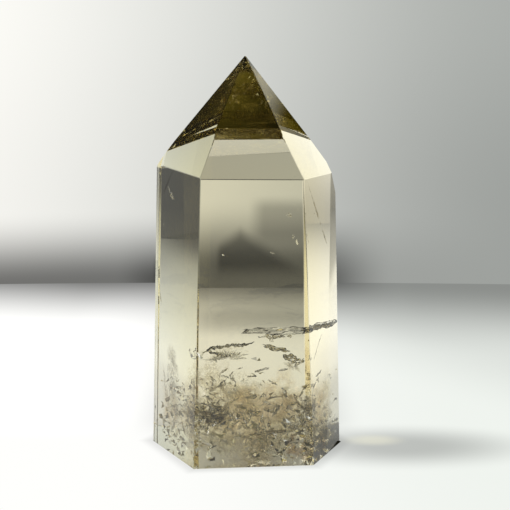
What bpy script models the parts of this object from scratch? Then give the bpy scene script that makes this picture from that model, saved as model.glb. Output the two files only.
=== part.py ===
# Citrine crystal point: one polished quartz tower, standing on its flat cut base.
# It is cut the way a lapidary grinds it. A block of rough is ground flat on one
# facet after another, until only the tower is left: long side facets, a steep
# shoulder facet above most of them, and tip facets that all meet at the point.
# Lengths are in metres and angles in degrees.

import math

import bmesh
import bpy
from mathutils import Vector

# driving dimensions
tower_height = 0.080      # base to point
shoulder_height = 0.056   # level at which the shoulder facets' reach is given
rough_half_width = 0.030  # the block of rough that the tower is cut from
edge_softening = 0.0002   # width taken off each edge by the final polish
tip_offset_x = -0.0001    # the point stands a little off the axis, to the front
tip_offset_y = -0.0014
trim_allowance = 1.1      # the rough is taller than the tower by this factor
cut_tolerance = 1e-7      # corners nearer than this to a cut count as on it

# Side facets: bearing round the tower from +X, lean back from upright, and reach
# from the axis at the base. The front and back are broad. The left and right
# each carry one narrow facet where two broad ones would have met in an edge.
side_facets = {
    "front": (-85.1, -0.2, 0.01345),
    "front left": (-149.8, 1.6, 0.0162),
    "narrow left": (-156.1, 1.6, 0.0171),
    "back left": (147.5, 1.2, 0.01715),
    "back": (90.4, 1.0, 0.0147),
    "back right": (30.4, 1.3, 0.0174),
    "narrow right": (-21.0, 1.6, 0.01755),
    "front right": (-25.6, 2.0, 0.0175),
}

# Shoulder facets: bearing, lean, and reach at shoulder_height.
shoulder_facets = {
    "front": (-84.7, 19.6, 0.0143),
    "front left": (-149.9, 27.6, 0.01575),
    "small left": (-155.1, 25.6, 0.01625),
    "back left": (150.0, 26.0, 0.017),
    "back": (92.0, 25.8, 0.0139),
    "back right": (17.8, 19.5, 0.01625),
    "front right": (-23.4, 31.0, 0.01625),
}

# Tip facets: bearing and lean. Each one passes through the point.
tip_facets = {
    "front": (-84.6, 33.0),
    "front left": (-153.1, 34.6),
    "back left": (146.0, 36.5),
    "back": (92.0, 33.8),
    "back right": (29.4, 35.0),
    "front right": (-21.3, 34.9),
}


def outward(bearing, lean):
    """Unit vector that leaves a facet squarely."""
    around = math.radians(bearing)
    up = math.radians(lean)
    return Vector((math.cos(up) * math.cos(around), math.cos(up) * math.sin(around), math.sin(up)))


def rough_block():
    block = bmesh.new()
    bmesh.ops.create_cube(block, size=1.0)
    for vert in block.verts:
        vert.co.x *= 2.0 * rough_half_width
        vert.co.y *= 2.0 * rough_half_width
        vert.co.z = (vert.co.z + 0.5) * tower_height * trim_allowance
    return block


def grind(stone, point, normal):
    """Takes away all that lies outside one plane and closes the new facet."""
    everything = stone.verts[:] + stone.edges[:] + stone.faces[:]
    bmesh.ops.bisect_plane(
        stone,
        geom=everything,
        dist=cut_tolerance,
        plane_co=point,
        plane_no=normal,
        clear_outer=True,
    )
    open_edges = [edge for edge in stone.edges if edge.is_boundary]
    if open_edges:
        bmesh.ops.holes_fill(stone, edges=open_edges, sides=0)


def grind_sides(stone):
    for bearing, lean, reach in side_facets.values():
        normal = outward(bearing, lean)
        flat = outward(bearing, 0.0)
        grind(stone, flat * reach, normal)


def grind_shoulders(stone):
    for bearing, lean, reach in shoulder_facets.values():
        normal = outward(bearing, lean)
        flat = outward(bearing, 0.0)
        grind(stone, flat * reach + Vector((0.0, 0.0, shoulder_height)), normal)


def grind_tip(stone):
    point = Vector((tip_offset_x, tip_offset_y, tower_height))
    for bearing, lean in tip_facets.values():
        grind(stone, point, outward(bearing, lean))


def soften_edges(stone):
    bmesh.ops.bevel(
        stone,
        geom=stone.edges[:],
        offset=edge_softening,
        offset_type="WIDTH",
        segments=1,
        profile=0.5,
        affect="EDGES",
        clamp_overlap=True,
    )


def centre_on_footprint(stone):
    xs = [vert.co.x for vert in stone.verts]
    ys = [vert.co.y for vert in stone.verts]
    middle = Vector(((min(xs) + max(xs)) / 2.0, (min(ys) + max(ys)) / 2.0, 0.0))
    for vert in stone.verts:
        vert.co -= middle


def citrine_material():
    material = bpy.data.materials.new("citrine")
    material.use_nodes = True
    shader = material.node_tree.nodes["Principled BSDF"]
    shader.inputs["Base Color"].default_value = (0.80, 0.76, 0.60, 1.0)
    shader.inputs["Metallic"].default_value = 0.0
    shader.inputs["Roughness"].default_value = 0.03
    shader.inputs["IOR"].default_value = 1.55
    shader.inputs["Transmission Weight"].default_value = 1.0
    return material


def build_crystal_point():
    stone = rough_block()
    grind_sides(stone)
    grind_shoulders(stone)
    grind_tip(stone)
    soften_edges(stone)
    centre_on_footprint(stone)
    bmesh.ops.recalc_face_normals(stone, faces=stone.faces[:])
    mesh = bpy.data.meshes.new("crystal_point")
    stone.to_mesh(mesh)
    stone.free()
    tower = bpy.data.objects.new("crystal_point", mesh)
    mesh.materials.append(citrine_material())
    bpy.context.collection.objects.link(tower)
    return tower


for leftover in list(bpy.data.objects):
    bpy.data.objects.remove(leftover, do_unlink=True)
build_crystal_point()
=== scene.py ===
import math

import bmesh
import bpy
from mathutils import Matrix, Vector, noise
from mathutils.bvhtree import BVHTree


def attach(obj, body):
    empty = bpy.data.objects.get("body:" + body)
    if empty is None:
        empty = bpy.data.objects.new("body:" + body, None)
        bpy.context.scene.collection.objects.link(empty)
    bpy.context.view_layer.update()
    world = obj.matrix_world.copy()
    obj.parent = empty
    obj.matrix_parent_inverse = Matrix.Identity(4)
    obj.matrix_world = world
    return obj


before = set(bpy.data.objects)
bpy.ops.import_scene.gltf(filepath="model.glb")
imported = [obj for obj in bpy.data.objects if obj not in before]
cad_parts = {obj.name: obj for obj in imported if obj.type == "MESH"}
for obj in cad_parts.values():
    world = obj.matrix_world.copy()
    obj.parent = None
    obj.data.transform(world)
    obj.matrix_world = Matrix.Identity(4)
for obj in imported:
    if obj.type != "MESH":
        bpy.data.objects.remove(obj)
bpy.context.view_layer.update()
scene = bpy.context.scene


class Wire:
    # one output of a node, so that node maths reads as plain maths
    def __init__(self, tree, out):
        self.tree = tree
        self.out = out

    def maths(self, kind, *values):
        return addNode(self.tree, "ShaderNodeMath", dict(operation=kind), *values)

    def __add__(self, other):
        return self.maths("ADD", self, other)

    def __radd__(self, other):
        return self.maths("ADD", other, self)

    def __sub__(self, other):
        return self.maths("SUBTRACT", self, other)

    def __rsub__(self, other):
        return self.maths("SUBTRACT", other, self)

    def __mul__(self, other):
        return self.maths("MULTIPLY", self, other)

    def __rmul__(self, other):
        return self.maths("MULTIPLY", other, self)

    def __truediv__(self, other):
        return self.maths("DIVIDE", self, other)

    def __rtruediv__(self, other):
        return self.maths("DIVIDE", other, self)

    def __pow__(self, other):
        return self.maths("POWER", self, other)

    def __neg__(self):
        return self.maths("MULTIPLY", self, -1.0)

    def __abs__(self):
        return self.maths("ABSOLUTE", self)

    def exponent(self):
        return self.maths("EXPONENT", self)

    def larger(self, other):
        return self.maths("MAXIMUM", self, other)

    def smaller(self, other):
        return self.maths("MINIMUM", self, other)

    def over(self, other):
        return self.maths("GREATER_THAN", self, other)


def addNode(tree, kind, settings, *values, out=0, **named):
    # adds any node: settings first, then what goes into its sockets by place or by name
    node = tree.nodes.new(kind)
    for name, value in settings.items():
        setattr(node, name, value)
    pairs = list(zip(node.inputs, values))
    pairs += [(node.inputs[name.replace("_", " ")], value) for name, value in named.items()]
    for socket, value in pairs:
        setSocket(tree, socket, value)
    return Wire(tree, node.outputs[out])


def setSocket(tree, socket, value):
    if isinstance(value, Wire):
        tree.links.new(value.out, socket)
    elif value is not None:
        socket.default_value = value


def setShader(shader, values):
    # values and links for the sockets of a material's own shader, by name
    for name, value in values.items():
        setSocket(shader.id_data, shader.inputs[name], value)


def ramp(wire, low, high, start=0.0, end=1.0):
    # eases from start to end while the wire goes from low to high
    settings = dict(interpolation_type="SMOOTHSTEP")
    return addNode(wire.tree, "ShaderNodeMapRange", settings, wire, low, high, start, end)


def window(wire, low, full, last, high):
    # comes up from low to full, stays, and goes down again from last to high
    return ramp(wire, low, full) * ramp(wire, last, high, 1.0, 0.0)


def blend(first, second, share):
    return share * (second - first) + first


def distance(first, second):
    return (first * first + second * second) ** 0.5


def mixColour(factor, first, second):
    tree = factor.tree
    node = tree.nodes.new("ShaderNodeMix")
    node.data_type = "RGBA"
    for place, value in ((0, factor), (6, first), (7, second)):
        setSocket(tree, node.inputs[place], value)
    return Wire(tree, node.outputs[2])


def scaled(vector, strength):
    # a colour made brighter or a vector made longer
    return addNode(vector.tree, "ShaderNodeVectorMath", dict(operation="SCALE"), vector, None, None, strength)


def noiseAt(place, scale, detail, roughness, out=0):
    settings = dict(noise_dimensions="3D")
    return addNode(place.tree, "ShaderNodeTexNoise", settings, place, None, scale, detail, roughness, out=out)


def objectPlace(tree):
    return addNode(tree, "ShaderNodeTexCoord", {}, out=3)


def axes(wire):
    # the three parts of a vector
    node = wire.tree.nodes.new("ShaderNodeSeparateXYZ")
    wire.tree.links.new(wire.out, node.inputs[0])
    return [Wire(wire.tree, out) for out in node.outputs]


def newMaterial(name):
    material = bpy.data.materials.new(name)
    material.use_nodes = True
    tree = material.node_tree
    shader = tree.nodes["Principled BSDF"]
    return material, tree, shader


def up(degrees):
    # the height of a look that climbs by so many degrees
    return math.sin(math.radians(degrees))


def mm(*lengths):
    return tuple(length * 0.001 for length in lengths)


# camera: a long lens, a little above the crystal, looking down at it
print("camera")
eye = dict(
    place=Vector((0.0018, -0.2763, 0.106)), aim=Vector((0.0018, -0.0002, 0.04)), lens=100.0, sensor=36.0,
)
camera = bpy.data.objects.new("camera", bpy.data.cameras.new("camera"))
scene.collection.objects.link(camera)
camera.location = eye["place"]
camera.rotation_euler = (eye["aim"] - eye["place"]).to_track_quat("-Z", "Y").to_euler()
camera.data.lens = eye["lens"]
camera.data.sensor_width = eye["sensor"]
camera.data.clip_start = 0.01
camera.data.clip_end = 20.0
scene.camera = camera
scene.view_settings.view_transform = "Standard"

# light goes round inside the stone many times before it leaves
bounces = dict(
    max_bounces=32, glossy_bounces=24, transmission_bounces=24, transparent_max_bounces=48,
    diffuse_bounces=2, volume_bounces=0,
)
for name, count in bounces.items():
    setattr(scene.cycles, name, count)
scene.cycles.caustics_reflective = True
scene.cycles.caustics_refractive = True
scene.cycles.sample_clamp_indirect = 6.0

# the room: shaded just above the table, pale over that, and darker overhead
print("room")
room = dict(
    low=0.45, shade=0.09, shadeLeft=0.6, shadeBeside=0.17, shadeRight=0.36,
    paleLeft=0.95, paleRight=0.36, paleEnd=0.38, highLeft=1.02, highRight=0.43,
)
overhead = dict(left=0.04, right=0.65, front=0.03, behind=0.15, leftOfMiddle=0.3)
bands = dict(shade=(-18, -16.2), pale=(-14.4, -11.5), high=(-11.5, -3), overhead=(9, 17))  # degrees up
world = bpy.data.worlds.new("room")
scene.world = world
world.use_nodes = True
sky = world.node_tree
lookX, lookY, lookZ = axes(addNode(sky, "ShaderNodeTexCoord", {}, out=0))


def rise(band, height):
    # goes from 0 to 1 where one band of the room turns into the next
    low, high = bands[band]
    return ramp(height, up(low), up(high))


def heights(low, full, last, high):
    # a window on the height of the look, in degrees
    return window(lookZ, up(low), up(full), up(last), up(high))


shade = ramp(lookX, -0.65, -0.25, room["shadeLeft"], room["shadeBeside"])
shade = shade - ramp(lookX, -0.1, -0.068) * (room["shadeBeside"] - room["shade"])
shadeRight = ramp(lookX, 0.04, 0.10) * ramp(lookX, 0.17, 0.3, 1.0, -0.15)
shade = shade + shadeRight * (room["shadeRight"] - room["shade"])
sideways = ramp(lookX, -0.25, 0.2)
pale = blend(room["paleLeft"], room["paleRight"], sideways) * ramp(lookX, 0.35, 0.6, 1.0, room["paleEnd"])
high = blend(room["highLeft"], room["highRight"], sideways)
later = lookZ - ramp(lookX, 0.25, 0.55) * 0.04  # on the right the bands sit higher up
tone = blend(room["low"], shade, rise("shade", lookZ))
tone = blend(tone, pale, rise("pale", later))
tone = tone + rise("high", later) * (high - pale)

# a dusky gable right behind the stone, a gloom above its right slope, and a dim end far to the left
dusk = dict(
    ridge=-0.054, slope=0.65, roof=(-0.231, -0.218), foot=(-15, -14.2),
    across=(-0.073, -0.067, 0.02, 0.05), dark=0.6,
)
gloom = dict(across=(-0.05, -0.036, 0.02, 0.05), tall=(-13.7, -12.9, -12.1, -11.4), dark=0.4)
dimEnd = dict(across=(-0.775, -0.745), tall=(-18, -17, -8, -4), dark=0.5)
roof = abs(lookX - dusk["ridge"]) * dusk["slope"] + lookZ
duskShare = ramp(roof, *dusk["roof"], 1.0, 0.0) * window(lookX, *dusk["across"])
duskShare = duskShare * ramp(lookZ, up(dusk["foot"][0]), up(dusk["foot"][1]))
gloomShare = window(lookX, *gloom["across"]) * heights(*gloom["tall"])
tone = tone * (1 - duskShare * dusk["dark"]) * (1 - gloomShare * gloom["dark"])
tone = tone * (1 - ramp(lookX, *dimEnd["across"], dimEnd["dark"], 0.0) * heights(*dimEnd["tall"]))

# overhead: nearly black on the left and in front, and brighter to the right
away = ramp(lookY, 0.3, 0.6)
above = ramp(lookX, -0.6, 0.6, overhead["left"], overhead["right"])
above = above * (1 - ramp(abs(lookX), 0.2, 0.45, 1.0, 0.0) * away * overhead["behind"])
above = above + ramp(lookX, -0.12, -0.04, overhead["leftOfMiddle"], 0.0) * ramp(lookX, -0.35, -0.15) * away
above = blend(above, overhead["front"], ramp(-lookY, -0.1, 0.4))
tone = blend(tone, above, rise("overhead", lookZ))

# a soft lamp on the right, with a dark sill under it
lamp = dict(
    across=(0.5, 0.53, 0.6, 0.63), away=(0.5, 0.6), sill=(0.25, 0.256), glow=(0.27, 0.293), bright=1.1,
)
lampShare = window(lookX, *lamp["across"]) * ramp(lookY, *lamp["away"]) * ramp(lookZ, *lamp["sill"])
tone = blend(tone, ramp(lookZ, *lamp["glow"], 0.0, lamp["bright"]), lampShare)
tint = mixColour(ramp(lookX, -0.3, 0.3), (1.0, 0.985, 0.94, 1), (0.95, 1.0, 0.95, 1))
sky.links.new(scaled(tint, tone).out, sky.nodes["Background"].inputs["Color"])

# the table: pale, with painted shade towards its far edge
print("table")
table = dict(
    reach=0.132, halfWidth=0.44, corners=128, drop=0.00002, tone=1.0, foot=0.09, footRight=0.36,
    slant=0.16, bow=0.08, spread=0.35, fadeFrom=0.064, fadeTo=0.136,
)
ring = []
for k in range(table["corners"]):
    turn = 2 * math.pi * k / table["corners"]
    ring.append((table["halfWidth"] * math.cos(turn), table["reach"] * math.sin(turn), -table["drop"]))
mesh = bpy.data.meshes.new("table")
mesh.from_pydata(ring, [], [list(range(table["corners"]))])
tabletop = bpy.data.objects.new("table", mesh)
scene.collection.objects.link(tabletop)
paint, tree, shader = newMaterial("tabletop")
mesh.materials.append(paint)
x, y, _ = axes(objectPlace(tree))
slide = y + x * table["slant"] - abs(x) * table["bow"]
far = distance(slide, x * table["spread"]) - ramp(abs(x), 0.02, 0.05, 0.009, 0.0)
foot = window(x, 0.018, 0.045, 0.08, 0.11) * (table["footRight"] - table["foot"]) + table["foot"]
# painted shade: the glow darkens to the foot tone towards the far edge
tone = ramp(far, table["fadeFrom"], table["fadeTo"], table["tone"], foot)

# how far a spot is outside the stone's foot, from each side's bearing and reach
footprint = {-85.1: 0.01345, -149.8: 0.0162, 147.5: 0.01715, 90.4: 0.0147, 30.4: 0.0174, -25.6: 0.0175}
edge = None
for bearing, reach in footprint.items():
    turn = math.radians(bearing)
    gap = x * math.cos(turn) + y * math.sin(turn) - reach
    edge = gap if edge is None else edge.larger(gap)

# painted shadows on the table's glow: close round the foot, to the right, behind the stone, in the far corner
# and in the left wing, and a painted brighter patch at the back left
paintedShadow = dict(x=0.032, y=-0.002, wide=0.026, deep=0.011, tone=0.58)
behind = dict(near=0.32, far=0.17, patch=0.25)


def oval(spot):
    # 0 in the middle of the spot and 1 at its rim
    return distance((x - spot["x"]) / spot["wide"], (y - spot["y"]) / spot["deep"])


# painted shade close round the foot, and a painted shadow to the right
paintedContactShade = ramp(edge, 0.0, 0.003, 0.8, 1.0)
paintedShadowRight = ramp(oval(paintedShadow), 0.2, 1.3, paintedShadow["tone"], 1.0)
# a painted shadow behind the stone, and a painted dark patch further back
back = ramp(y, 0.025, 0.045, behind["near"], behind["far"])
back = back + window(y, 0.082, 0.097, 0.103, 0.118) * behind["patch"]
back = back * ramp(abs(x), 0.012, 0.026, 1.0, 0.0) * window(y, 0.0, 0.016, 0.1, 0.12)
# painted shade in the far right corner and in the dim left wing
corner = ramp(x + y, 0.07, 0.13, 0.0, 0.16)
side = x + y * 0.19
paintedWingShade = ramp(side, -0.09, -0.062, 0.5, 0.33) * ramp(side, -0.062, -0.053, 1.0, 0.0)
paintedWingShade = paintedWingShade * ramp(y, 0.03, 0.06) * ramp(x + y, -0.011, -0.005, 1.0, 0.0)
# a painted brighter patch at the back left
bright = ramp(x, -0.045, -0.02, 0.2, 0.0) * ramp(y, 0.0, 0.02)
tone = tone * (1 + bright) * paintedContactShade * paintedShadowRight * (1 - back) * (1 - corner - paintedWingShade)
paintedTableLight = scaled(mixColour(ramp(x, -0.03, 0.05), (1.0, 1.0, 0.98, 1), (0.87, 0.905, 0.86, 1)), tone)

# painted light that the stone would gather: a spot on its right, and a warm pool under its left front
paintedCaustic = dict(x=0.0265, y=0.0015, wide=0.0065, deep=0.0035, strength=0.45)
paintedPool = dict(x=-0.01, y=-0.011, fade=0.0067, strength=0.52, frontEdge=(-0.0104, -0.0098))
paintedTableLight = mixColour(ramp(oval(paintedCaustic), 0.2, 1.2, paintedCaustic["strength"], 0.0), paintedTableLight, (0.9, 0.88, 0.7, 1))
away = distance(x - paintedPool["x"], y - paintedPool["y"])
glow = (away / -paintedPool["fade"]).exponent() * paintedPool["strength"] * ramp(y, *paintedPool["frontEdge"], 0.02, 1.0)
paintedPoolTint = mixColour(ramp(away, 0.004, 0.012), (1.0, 0.97, 0.85, 1), (1.0, 0.9, 0.17, 1))
# under the foot itself the table shows only the painted pool, dark away from it
paintedTableLight = mixColour(ramp(edge, -0.0002, 0.0), scaled(paintedPoolTint, glow), paintedTableLight)
# the table gives off its pale tone and all this painted light and shade as its own glow
setShader(shader, {
    "Base Color": (0, 0, 0, 1), "Roughness": 1.0, "Specular IOR Level": 0.0,
    "Emission Color": paintedTableLight, "Emission Strength": 1.0,
})
paint.cycles.emission_sampling = "NONE"

# the stone itself: pale citrine that takes the blue out of the light, with the faint swell of hand polishing
print("stone")
stone = dict(ior=1.548, depth=16.0, tint=(0.8125, 0.675, 0.04, 1.0), smear=320.0, swell=90.0)
citrine, tree, shader = newMaterial("citrine")
place = objectPlace(tree)
smear = noiseAt(place, stone["smear"], 5.0, 0.7)
swell = noiseAt(place, stone["swell"], 2.0, 0.5)
setShader(shader, {
    "Base Color": (1, 1, 1, 1), "Roughness": ramp(smear, 0.5, 0.75, 0.0, 0.025),
    "Normal": addNode(tree, "ShaderNodeBump", {}, Strength=0.25, Distance=0.00002, Height=swell),
    "IOR": stone["ior"], "Transmission Weight": 1.0,
})
absorb = addNode(tree, "ShaderNodeVolumeAbsorption", {}, Color=stone["tint"], Density=stone["depth"])
tree.links.new(absorb.out, tree.nodes["Material Output"].inputs["Volume"])
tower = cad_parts["crystal_point"]
for slot in tower.material_slots:
    slot.material = citrine


def mergedStone():
    # a closed copy of the tower's mesh, for the flakes to stay inside
    copy = bmesh.new()
    copy.from_mesh(tower.data)
    copy.transform(tower.matrix_world)
    bmesh.ops.remove_doubles(copy, verts=copy.verts[:], dist=0.000002)
    mesh = bpy.data.meshes.new("stone copy")
    copy.to_mesh(mesh)
    copy.free()
    return mesh


def airMaterial(name, rough, grain, rim=0.0):
    # a crack is a film of air in the stone: it mirrors what meets it at a slant and is clear head on
    material, tree, shader = newMaterial(name)
    fine = noiseAt(objectPlace(tree), grain, 3.0, 0.6)
    frosted = ramp(fine, 0.4, 0.7, 0.0, rough)
    glass = addNode(tree, "ShaderNodeBsdfGlass", {}, (1.0, 1.0, 1.0, 1), frosted, 1 / stone["ior"])
    # its rim runs out in a dark line, painted in place of the dark that a crack's curled edge mirrors
    setShader(shader, {"Base Color": (0.03, 0.025, 0.015, 1), "Roughness": 0.6})
    outward = addNode(tree, "ShaderNodeAttribute", dict(attribute_name="rim"), out=2)
    edge = ramp(outward, 0.8, 0.95) * ramp(fine, 0.35, 0.5) * rim
    mix = addNode(tree, "ShaderNodeMixShader", {}, edge, glass, Wire(tree, shader.outputs[0]))
    tree.links.new(mix.out, tree.nodes["Material Output"].inputs["Surface"])
    return material


def veilMaterial(name, pale, dark, grain, rough, cover=1.0, ior=1.06):
    # a healed crack: tinted drifts that thin out towards the rim, with clear stone between them
    material, tree, shader = newMaterial(name)
    place = objectPlace(tree)
    drift = noiseAt(place, grain, 4.0, 0.65)
    speck = noiseAt(place, grain * 6, 3.0, 0.6)
    outward = addNode(tree, "ShaderNodeAttribute", dict(attribute_name="rim"), out=2)
    patches = ramp(drift, 0.36, 0.58) * ramp(speck, 0.3, 0.5)
    setShader(shader, {
        "Base Color": mixColour(ramp(speck, 0.42, 0.58), dark, pale),
        "Alpha": patches * ramp(outward, 0.5, 1.0, 1.0, 0.0) * cover,
        "Normal": addNode(tree, "ShaderNodeBump", {}, Strength=1.0, Distance=0.00025, Height=speck),
        "Roughness": rough, "IOR": ior, "Transmission Weight": 1.0,
    })
    return material


def finish(name, mesh):
    # the mesh becomes a piece that goes wherever the stone goes
    piece = bpy.data.objects.new(name, mesh)
    scene.collection.objects.link(piece)
    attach(piece, "root")
    print(name, len(mesh.polygons))


def groupSockets(group, names):
    # adds the group's own sockets and returns the inputs' identifiers by name
    group.interface.new_socket("Geometry", in_out="INPUT", socket_type="NodeSocketGeometry")
    found = {}
    for name, kind in names.items():
        socket = group.interface.new_socket(name, in_out="INPUT", socket_type="NodeSocket" + kind)
        found[name] = socket.identifier
    group.interface.new_socket("Geometry", in_out="OUTPUT", socket_type="NodeSocketGeometry")
    return found


def flakeTree():
    # scatters small bent flakes in a box, wherever that lies inside the closed stone
    group = bpy.data.node_groups.new("flakes", "GeometryNodeTree")
    names = dict(Count="Int", Seed="Int", Sides="Int", Low="Vector", High="Vector")
    numbers = ("Fade", "Small", "Large", "Stand", "Turn", "Spin", "Tilt", "Bend", "Clump")
    names.update(dict.fromkeys(numbers, "Float"))
    names.update(Material="Material")
    keys = groupSockets(group, names)
    start = group.nodes.new("NodeGroupInput")
    given = {socket.name: Wire(group, socket) for socket in start.outputs if socket.name}
    stoneMesh, seed = given["Geometry"], given["Seed"]
    position = addNode(group, "GeometryNodeInputPosition", {})

    def chance(shift, low=0.0, high=1.0):
        settings = dict(data_type="FLOAT")
        draw = seed + shift
        return addNode(group, "FunctionNodeRandomValue", settings, None, None, low, high, Seed=draw, out=1)

    def chanceSpot(low, high, draw):
        settings = dict(data_type="FLOAT_VECTOR")
        return addNode(group, "FunctionNodeRandomValue", settings, low, high, Seed=draw)

    spot = chanceSpot(given["Low"], given["High"], seed)
    points = addNode(group, "GeometryNodePoints", {}, given["Count"], spot)

    # how far each point is from the stone's skin, and on which side of it
    near = group.nodes.new("GeometryNodeProximity")
    near.target_element = "FACES"
    group.links.new(stoneMesh.out, near.inputs["Geometry"])
    nearest = Wire(group, near.outputs["Position"])
    depth = Wire(group, near.outputs["Distance"])
    normal = addNode(group, "GeometryNodeInputNormal", {})
    settings = dict(data_type="FLOAT_VECTOR")
    facing = addNode(group, "GeometryNodeSampleNearestSurface", settings, Mesh=stoneMesh, Value=normal)
    step = addNode(group, "ShaderNodeVectorMath", dict(operation="SUBTRACT"), position, nearest)
    side = addNode(group, "ShaderNodeVectorMath", dict(operation="DOT_PRODUCT"), step, facing, out=1)

    # fewer towards the top of the box, and in drifts
    height, bottom, top = (axes(wire)[2] for wire in (position, given["Low"], given["High"]))
    level = (height - bottom) / (top - bottom)
    clump = noiseAt(position, 170.0, 2.0, 0.5)
    crowd = ramp(level, 1 - given["Fade"], 1.0, 1.0, 0.0) * ramp(clump, given["Clump"], given["Clump"] + 0.12)
    dropped = side.over(-0.00025).larger(chance(2).over(crowd))
    kept = addNode(group, "GeometryNodeDeleteGeometry", dict(domain="POINT"), points, dropped)

    disc = addNode(group, "GeometryNodeMeshCircle", dict(fill_type="TRIANGLE_FAN"), given["Sides"], 1.0)
    size = chance(3) ** 2 * (given["Large"] - given["Small"]) + given["Small"]
    size = size.smaller(depth * 0.85)
    scale = addNode(group, "ShaderNodeCombineXYZ", {}, size, size * chance(4, 0.35, 1.0), size)
    leanX, leanY, spin = axes(chanceSpot((-1, -1, -1), (1, 1, 1), seed + 5))
    turn = addNode(
        group, "ShaderNodeCombineXYZ", {},
        leanX * given["Tilt"] + given["Stand"], leanY * given["Tilt"], spin * given["Spin"] + given["Turn"])
    placed = addNode(
        group, "GeometryNodeInstanceOnPoints", {}, Points=kept, Instance=disc, Rotation=turn, Scale=scale)
    shape = addNode(group, "GeometryNodeRealizeInstances", {}, placed)

    # each flake is bent, and made a closed film with two sides
    ripple = noiseAt(position, 900.0, 1.0, 0.5, out=1)
    bend = addNode(group, "ShaderNodeVectorMath", dict(operation="SUBTRACT"), ripple, (0.5, 0.5, 0.5))
    shape = addNode(group, "GeometryNodeSetPosition", {}, shape, None, None, scaled(bend, given["Bend"]))
    settings = dict(mode="FACES")
    thick = addNode(group, "GeometryNodeExtrudeMesh", settings, shape, None, None, filmThickness, False)
    flipped = addNode(group, "GeometryNodeFlipFaces", {}, shape)
    joined = group.nodes.new("GeometryNodeJoinGeometry")
    for part in (thick, flipped):
        group.links.new(part.out, joined.inputs[0])
    shape = Wire(group, joined.outputs[0])
    shape = addNode(group, "GeometryNodeMergeByDistance", {}, shape, None, None, filmThickness / 12)
    shape = addNode(group, "GeometryNodeSetMaterial", {}, shape, None, given["Material"])
    end = group.nodes.new("NodeGroupOutput")
    group.links.new(shape.out, end.inputs[0])
    return group, keys


def scatter(name, values):
    # runs the flake tree on a copy of the stone and keeps the plain mesh that comes out
    base = bpy.data.objects.new(name + " base", mergedStone())
    scene.collection.objects.link(base)
    modifier = base.modifiers.new("grow", "NODES")
    modifier.node_group = flakeGroup
    for key, value in {**flakes, **values}.items():
        modifier[flakeKeys[key]] = value
    shape = bpy.data.meshes.new_from_object(base.evaluated_get(bpy.context.evaluated_depsgraph_get()))
    bpy.data.objects.remove(base)
    finish(name, shape)


def keptInside(spot, margin):
    # a spot that would poke out of the stone is brought back under its skin
    skin, facing, _, _ = stoneSkin.find_nearest(spot)
    if (spot - skin).dot(facing) > -margin:
        return skin - facing * margin
    return spot


def sheet(middle, along, across, seed, **shape):
    # one crack: its middle, half length and half width in mm, and where it differs from its piece
    return dict(middle=middle, along=along, across=across, seed=seed, **shape)


def addSheet(shape, rim, crack):
    # a thin wavy film with a ragged rim, closed all round, in rings from its middle to its rim
    middle, along, across = (Vector(mm(*crack[key])) for key in ("middle", "along", "across"))
    out = along.cross(across).normalized()
    shift = crack["seed"] * 7.31
    wave, fineness, ragged = crack["wave"] * 0.001, crack["fineness"], crack["ragged"]
    rings, spokes = crack.get("rings", 12), crack.get("spokes", 56)

    def corner(share, turn, lift):
        reach = 1 + ragged * noise.noise(Vector((math.cos(turn) * 1.7, math.sin(turn) * 1.7, shift)))
        reach += ragged * 0.5 * noise.noise(Vector((math.cos(turn) * 6, math.sin(turn) * 6, shift + 3)))
        flat = middle + along * (share * reach * math.cos(turn)) + across * (share * reach * math.sin(turn))
        ripple = noise.noise(flat * 1000 * fineness + Vector((shift, 0, 0)))
        ripple += 0.4 * noise.noise(flat * 3000 * fineness + Vector((0, shift, 0)))
        made = shape.verts.new(keptInside(flat + out * (wave * ripple + lift), skinMargin + lift))
        made[rim] = share
        return made

    layers = []
    for lift in (0.0, filmThickness):
        layer = [[corner(0.0, 0.0, lift)]]
        for r in range(1, rings + 1):
            layer.append([corner(r / rings, 2 * math.pi * k / spokes, lift) for k in range(spokes)])
        layers.append(layer)
    for layer, step in zip(layers, (-1, 1)):
        for k in range(spokes):
            after = (k + 1) % spokes
            loops = [[layer[0][0], layer[1][k], layer[1][after]]]
            for r in range(1, rings):
                loops.append([layer[r][k], layer[r + 1][k], layer[r + 1][after], layer[r][after]])
            for loop in loops:
                shape.faces.new(loop[::step])
    low, high = layers[0][-1], layers[1][-1]
    for k in range(spokes):
        after = (k + 1) % spokes
        shape.faces.new([low[k], low[after], high[after], high[k]])


def crackSheet(name, piece):
    shape = bmesh.new()
    rim = shape.verts.layers.float.new("rim")
    for crack in piece["sheets"]:
        addSheet(shape, rim, {**piece, **crack})
    bmesh.ops.recalc_face_normals(shape, faces=shape.faces[:])
    mesh = bpy.data.meshes.new(name)
    shape.to_mesh(mesh)
    shape.free()
    for face in mesh.polygons:
        face.use_smooth = True
    mesh.materials.append(piece["material"])
    finish(name, mesh)


print("cracks and cloud")
filmThickness = 0.000012
skinMargin = 0.0002
hull = bmesh.new()
hull.from_mesh(mergedStone())
stoneSkin = BVHTree.FromBMesh(hull)
hull.free()
clearAir = airMaterial("crack air", rough=0.04, grain=1800.0)
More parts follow.
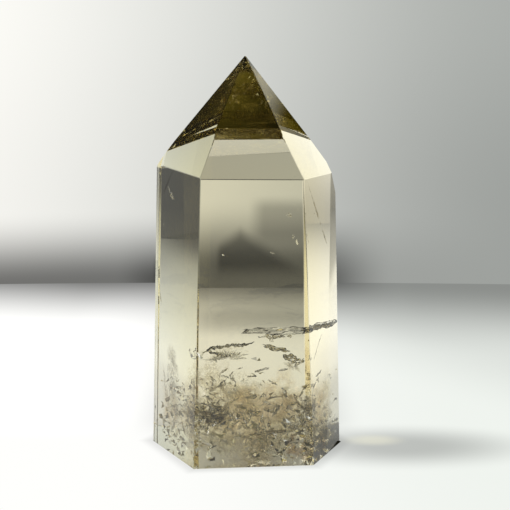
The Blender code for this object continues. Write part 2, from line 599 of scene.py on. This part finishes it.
# the sheets' rims carry that painted dark line
sheetAir = airMaterial("sheet air", rough=0.02, grain=900.0, rim=0.95)
paleVeil = veilMaterial("pale veil", (1.0, 0.99, 0.94, 1), (0.62, 0.58, 0.49, 1), grain=450.0, rough=0.03)
tanVeil = veilMaterial("tan veil", (0.95, 0.9, 0.8, 1), (0.75, 0.67, 0.58, 1), grain=260.0, rough=0.1)
darkVeil = veilMaterial("dark veil", (0.85, 0.82, 0.74, 1), (0.1, 0.085, 0.06, 1), grain=1100.0, rough=0.03)
rustVeil = veilMaterial("rust veil", (0.85, 0.7, 0.55, 1), (0.4, 0.27, 0.18, 1), grain=700.0, rough=0.05)
hazeFilm = veilMaterial("haze film", (0.97, 0.95, 0.86, 1), (0.82, 0.78, 0.66, 1), grain=150.0, rough=0.05)
shadeFilm = veilMaterial("shade film", (0.6, 0.56, 0.46, 1), (0.25, 0.23, 0.17, 1), grain=200.0, rough=0.02)
frost = veilMaterial(
    "frost", (1.0, 0.99, 0.97, 1), (0.84, 0.81, 0.76, 1), grain=600.0, rough=0.22, cover=0.75, ior=1.45)

# flakes: lying ones are dark from the front and clear from above, and upright ones shine
flakeGroup, flakeKeys = flakeTree()
upright = 1.5708  # a quarter turn
halfLeft = -0.785  # turned this far, they show the light from the left
flakes = dict(Sides=6, Stand=upright, Turn=0.0, Spin=3.14, Fade=0.6, Clump=0.38, Material=clearAir)
levelCracks = dict(
    Count=14000, Seed=3, Sides=7, Low=mm(-19.4, -14.7, 0), High=mm(19.4, 2.5, 21),
    Small=0.00008, Large=0.0006, Stand=0.0, Tilt=0.35, Bend=0.0005, Clump=0.39)
scatter("level_cracks", levelCracks)
standingCracks = dict(
    Count=4500, Seed=20, Low=mm(-19.4, -14.7, 0), High=mm(19.4, 0, 20), Small=0.0001, Large=0.0005,
    Tilt=0.15, Bend=0.0002)
scatter("standing_cracks", standingCracks)
brightCracks = dict(
    Count=6000, Seed=70, Low=mm(-19.4, -14.7, 0), High=mm(19.4, -5, 22), Small=0.00006, Large=0.00045,
    Turn=halfLeft, Spin=0.25, Tilt=0.12, Bend=0.0001, Fade=0.5)
scatter("bright_cracks", brightCracks)
crestSparks = dict(
    Count=260, Seed=75, Low=mm(-10.5, -12.4, 20.5), High=mm(2.5, -8, 24.6), Small=0.0001, Large=0.0005,
    Turn=halfLeft, Spin=0.3, Tilt=0.3, Bend=0.0001, Fade=0.4, Clump=0.36)
scatter("crest_sparks", crestSparks)
darkNest = dict(
    Count=400, Seed=40, Low=mm(-10.5, -12.4, 7.2), High=mm(-3.2, -6, 13), Small=0.0001, Large=0.0008,
    Stand=0.6, Tilt=1.0, Bend=0.0006, Fade=0.3, Clump=0.36, Material=shadeFilm)
scatter("dark_nest", darkNest)

# the long bright crack across the front, with one arm round the right front edge
mainCrack = dict(material=sheetAir, wave=0.5, fineness=0.45, ragged=0.25, sheets=[
    sheet((5.6, -8.4, 27.3), (6.4, -1.9, 0.45), (0.8, 3.2, 0.1), 1, wave=0.45),
    sheet((9.6, -9.4, 26.7), (2.4, -0.8, 0.2), (0.3, 1.8, -0.2), 2, wave=0.3, fineness=0.5, ragged=0.3),
    sheet((14.6, -5.6, 26.9), (3.5, 6.3, -1.0), (-1.6, 1.0, -0.9), 3),
    sheet((4.9, -9.2, 26.2), (2.2, 0.3, 0.1), (0.1, 1.6, 0.1), 4, fineness=0.9, ragged=0.5),
])
crackSheet("main_crack", mainCrack)

# small facets that flash, in and just over the cloud
glints = dict(material=clearAir, wave=0.1, fineness=2.5, ragged=0.6, sheets=[
    sheet((4.9, -9.4, 25.5), (-0.4, 0.4, 0.2), (0.1, 0.1, 0.35), 50),
    sheet((6.9, -9.2, 26.2), (-0.5, 0.5, 0.1), (0.0, 0.1, 0.2), 51),
    sheet((8.4, -9.4, 26.3), (-0.5, 0.5, 0.0), (0.1, 0.1, 0.35), 52),
    sheet((12.2, -9.3, 27.6), (-0.3, 0.3, 0.1), (0.0, 0.1, 0.25), 53),
    sheet((-9.5, -7.5, 5.0), (-0.4, 0.4, 0.2), (0.1, 0.1, 0.4), 54),
    sheet((3.6, -9.0, 14.0), (-0.35, 0.35, 0.1), (0.1, 0.1, 0.35), 55),
    sheet((10.3, -9.0, 11.8), (-0.35, 0.35, 0.1), (0.1, 0.1, 0.35), 56),
])
crackSheet("glints", glints)

# shorter cracks under the long one and over the cloud
lesserCracks = dict(material=sheetAir, wave=0.3, fineness=0.8, ragged=0.5, sheets=[
    sheet((6.0, -8.3, 23.5), (2.6, 0.3, -0.6), (0.2, 1.2, 0.2), 5),
    sheet((8.9, -9.1, 21.6), (1.6, -0.4, -0.3), (0.1, 1.3, 0.5), 6, wave=0.4, fineness=0.9),
    sheet((10.2, -9.6, 20.7), (1.0, -0.5, 0.6), (0.4, 1.0, 0.3), 7, wave=0.4, fineness=0.9),
    sheet((3.1, -9.5, 19.4), (1.5, 0.2, 0.3), (0.1, 1.0, 0.1), 8, wave=0.2),
    sheet((7.2, -8.2, 19.1), (0.9, 0.1, 0.1), (0.1, 0.7, 0.1), 9, wave=0.1, ragged=0.3),
    sheet((13.3, -7.4, 23.4), (1.0, 1.4, 1.9), (-0.3, 0.6, -0.2), 10, fineness=0.9),
    sheet((5.0, -10.3, 6.6), (3.0, 0.2, 0.25), (0.1, 1.4, 0.1), 11, wave=0.25, fineness=0.7, ragged=0.4),
    sheet((-3.6, -10.1, 24.4), (3.6, 0.4, 0.3), (0.2, 1.6, -0.4), 12, wave=0.7, fineness=1.2, ragged=0.6),
    sheet((-5.4, -10.3, 22.9), (2.4, 0.4, -0.6), (0.2, 1.3, -0.2), 13, wave=0.7, fineness=1.3, ragged=0.6),
])
crackSheet("lesser_cracks", lesserCracks)

# a crest of bright slivers fans out over the left of the cloud
crest = dict(
    material=clearAir, wave=0.1, fineness=2.0, ragged=0.7, sheets=[],
    rays=22, middle=(-3.6, -9.6, 21.6), reach=(4.2, 2.3), startAngle=8, sweep=165)
for k in range(crest["rays"]):
    turn = math.radians(crest["startAngle"] + crest["sweep"] * k / (crest["rays"] - 1))
    far = 0.55 + 0.25 * noise.noise(Vector((k * 1.7, 0, 0)))
    ray = Vector((math.cos(turn) * crest["reach"][0], 0, math.sin(turn) * crest["reach"][1]))
    middle = Vector(crest["middle"]) + ray * far + Vector((0, noise.noise(Vector((k * 2.3, 5, 0))), 0))
    flat = Vector((-ray.z, 0, ray.x)).normalized()
    crest["sheets"].append(sheet(middle, ray * 0.28, flat * 0.12 + Vector((0, 0.14, 0)), 60 + k))
crackSheet("crest", crest)


def strokes(count, middle, spread, length, seed):
    # short curled cracks seen almost edge on, tangled round a middle point
    found = []
    for k in range(count):
        hop = [noise.noise(Vector((k * 3.13 + seed, axis * 7.7, 4.2))) for axis in range(3)]
        lean = [noise.noise(Vector((k * 2.71 + seed, axis * 5.3, 9.6))) for axis in range(3)]
        turn = lean[0] * 5
        reach = length * (0.7 + abs(lean[2]) * 1.6)
        spot = [start + step * wide * 1.8 for start, step, wide in zip(middle, hop, spread)]
        along = (math.cos(turn) * reach, lean[1] * reach, math.sin(turn) * reach)
        across = (-math.sin(turn) * reach * 0.2, reach * 0.4, math.cos(turn) * reach * 0.2)
        found.append(sheet(spot, along, across, seed + k))
    return found


tangle = dict(material=sheetAir, wave=0.3, fineness=1.5, ragged=0.7, rings=5, spokes=24)
tangle["sheets"] = strokes(34, (-6.6, -9.2, 9.8), (3.6, 1.2, 2.8), 0.9, 100)
tangle["sheets"] += strokes(60, (1.0, -8.6, 9.0), (11.0, 2.5, 6.5), 0.75, 200)
tangle["sheets"] += strokes(22, (11.0, -8.2, 10.0), (2.6, 1.6, 6.0), 0.8, 300)
tangle["sheets"] += strokes(20, (-13.2, -5.4, 10.0), (1.8, 2.2, 6.5), 0.7, 400)
tangle["sheets"] += strokes(18, (-4.0, -9.4, 17.5), (5.0, 1.2, 3.0), 0.6, 500)
crackSheet("tangle", tangle)

# the cloud itself: pale veils in front, and frost and tan ones behind them
paleVeils = dict(material=paleVeil, wave=0.5, fineness=0.4, ragged=0.4, sheets=[
    sheet((-7.5, -9.6, 17.0), (4.6, 0.1, 0.8), (0.2, 0.1, -6.0), 90, fineness=0.5),
    sheet((-1.0, -9.2, 15.5), (4.2, 0.1, -0.6), (0.2, 0.1, -4.5), 91, fineness=0.5),
    sheet((7.5, -10.2, 11.0), (4.5, 0.1, 0.2), (0.1, 0.1, -6.0), 92, fineness=0.5),
    sheet((14.6, -4.4, 5.5), (2.1, 4.4, 0.1), (0.1, -0.1, -5.0), 94, wave=0.3, ragged=0.3),
    sheet((-13.4, -5.6, 8.0), (0.1, -0.2, -7.2), (2.6, -4.5, 0.2), 15, wave=0.4, fineness=0.5, ragged=0.35),
    sheet((-3.5, -9.0, 22.9), (3.8, 0.2, 0.5), (0.2, 0.3, -1.9), 16, fineness=0.9, ragged=0.6),
    sheet((-6.0, -10.4, 14.5), (4.6, 0.1, 0.8), (0.2, 0.1, -7.5), 32, fineness=0.5, ragged=0.5),
    sheet((-4.0, -9.0, 10.0), (7.0, 0.2, 0.5), (0.2, 0.3, -8.0), 17, wave=0.9),
    sheet((4.5, -8.0, 8.5), (8.0, 0.2, 0.2), (0.2, 0.4, -7.5), 18, wave=0.9),
    sheet((0.5, -10.8, 4.2), (10.5, 0.1, 0.1), (0.1, 0.1, -3.8), 33, ragged=0.25),
    sheet((0.0, -3.0, 6.5), (13.0, 0.4, 0.2), (0.2, 0.3, -7.0), 23, wave=0.9, ragged=0.3),
    sheet((14.0, -5.0, 8.6), (2.1, 4.4, 0.1), (0.1, -0.1, -7.6), 24, wave=0.4, ragged=0.35),
])
crackSheet("pale_veils", paleVeils)
frostVeils = dict(material=frost, wave=0.4, fineness=0.6, ragged=0.5, sheets=[
    sheet((-4.5, -7.0, 3.8), (5.5, 0.1, 0.3), (0.1, 0.1, -3.4), 86),
    sheet((4.5, -6.5, 3.0), (5.0, 0.1, -0.2), (0.1, 0.1, -2.6), 87),
    sheet((-1.0, -6.0, 12.0), (6.5, 0.1, -0.4), (0.1, 0.1, -5.5), 88, wave=0.5),
    sheet((7.5, -6.0, 9.0), (4.5, 0.1, -0.2), (0.1, 0.1, -5.5), 89, wave=0.5),
    sheet((-14.3, -4.7, 17.6), (0.2, -0.4, -4.9), (1.4, -2.4, 0.5), 14, fineness=0.5),
    sheet((-13.8, -5.2, 11.0), (0.9, -1.6, -3.9), (0.9, -1.5, 0.5), 81, fineness=0.5),
])
crackSheet("frost_veils", frostVeils)
tanVeils = dict(material=tanVeil, wave=0.6, fineness=0.4, ragged=0.35, sheets=[
    sheet((-2.0, -6.0, 13.7), (3.5, 0.3, 0.2), (0.1, 0.2, -3.3), 19, fineness=0.5, ragged=0.4),
    sheet((6.5, -5.3, 13.0), (5.0, -0.2, 0.1), (0.1, 0.2, -6.6), 20, wave=0.7, ragged=0.4),
    sheet((2.0, -1.0, 8.0), (12.0, 0.2, 0.2), (0.2, 0.3, -8.6), 21, wave=1.0, fineness=0.3),
    sheet((0.0, 4.0, 7.0), (13.0, 0.2, 0.2), (0.2, 0.3, -7.4), 35, wave=1.0, fineness=0.3),
    sheet((13.0, -4.5, 8.0), (2.2, 4.4, 0.1), (0.1, -0.1, -7.5), 22),
    sheet((-13.8, -2.5, 8.0), (1.8, -3.4, 0.1), (0.1, 0.1, -7.5), 36),
])
crackSheet("tan_veils", tanVeils)
haze = dict(material=hazeFilm, wave=0.6, fineness=0.3, ragged=0.25, sheets=[
    sheet((0.0, -9.6, 8.5), (12.5, 0.1, -0.3), (0.2, 0.1, -11.0), 95),
    sheet((13.8, -4.6, 8.0), (2.7, 5.6, 0.1), (0.1, -0.1, -10.5), 97, wave=0.3, ragged=0.2),
])
crackSheet("haze", haze)
darkVeils = dict(material=darkVeil, wave=0.4, fineness=0.7, ragged=0.6, sheets=[
    sheet((-6.8, -9.6, 9.8), (3.4, 0.2, 0.6), (0.3, 0.2, -2.4), 25, wave=0.8, fineness=0.9, ragged=0.7),
    sheet((5.0, -10.3, 6.4), (3.6, 0.2, 0.3), (0.1, 0.2, -0.7), 27, ragged=0.5),
    sheet((9.0, -9.0, 20.0), (1.6, -0.3, -0.5), (0.2, 0.2, -1.2), 28),
    sheet((11.6, -9.6, 11.0), (1.4, 0.2, 0.1), (0.1, 0.1, -2.6), 38),
    sheet((14.6, -3.5, 4.6), (1.4, 2.9, 0.0), (0.1, 0.0, -1.6), 39),
    sheet((-15.6, -2.9, 12.3), (0.9, -1.5, -5.4), (0.25, -0.4, 0.3), 40, wave=0.3, fineness=0.6, ragged=0.5),
])
crackSheet("dark_veils", darkVeils)

# thin dark lines up in the clear part and by the left edge
shadeLines = dict(material=shadeFilm, wave=0.05, fineness=0.3, ragged=0.1, sheets=[
    sheet((13.8, -6.5, 48.9), (2.2, 4.6, -7.8), (0.1, 0.25, 0.2), 82),
    sheet((-15.0, -2.7, 55.4), (-1.6, 2.1, -3.4), (-0.2, 0.3, 0.2), 83),
    sheet((-17.0, -0.1, 32.4), (0.4, -0.8, -3.2), (-0.15, 0.25, 0.1), 84, wave=0.1, fineness=0.5, ragged=0.4),
])
crackSheet("shade_lines", shadeLines)

# a brown stain low on the right
rustVeils = dict(material=rustVeil, wave=0.5, fineness=0.8, ragged=0.6, sheets=[
    sheet((10.2, -10.4, 3.2), (3.0, -0.4, 0.3), (0.1, 0.1, -2.8), 29),
    sheet((14.4, -6.4, 3.2), (1.0, 2.3, 0.1), (0.1, -0.1, -2.7), 30, wave=0.4, ragged=0.5),
])
crackSheet("rust_veils", rustVeils)

# bright little sparks up in the clear part, each one half turned so that it shows the light from the side
sparks = dict(material=clearAir, wave=0.1, fineness=2.5, ragged=0.6, sheets=[
    sheet((-14.2, -4.0, 52.9), (-0.5, 0.4, 0.5), (0.1, -0.1, 0.4), 41, wave=0.2),
    sheet((-14.8, -3.2, 54.0), (-0.25, 0.2, 0.5), (0.1, -0.1, 0.2), 42),
    sheet((-16.3, -1.6, 46.6), (-0.15, 0.15, 0.1), (0.0, 0.0, 0.2), 43),
    sheet((9.8, -8.1, 44.9), (-0.3, 0.3, 0.1), (0.0, 0.1, 0.5), 44),
    sheet((4.9, -7.5, 42.7), (-0.4, 0.3, 0.1), (0.0, 0.1, 0.15), 45),
    sheet((-4.5, -9.3, 42.6), (-0.2, 0.2, 0.0), (0.0, 0.1, 0.15), 46),
    sheet((8.2, -7.2, 50.1), (-0.4, 0.3, 0.2), (0.1, 0.1, 0.3), 47, wave=0.2, ragged=0.7),
    sheet((9.0, -7.6, 45.9), (-0.2, 0.2, 0.1), (0.0, 0.1, 0.3), 48, ragged=0.7),
    sheet((12.4, -7.6, 50.0), (-0.2, 0.2, 0.1), (0.0, 0.1, 0.2), 49, ragged=0.7),
])
crackSheet("sparks", sparks)
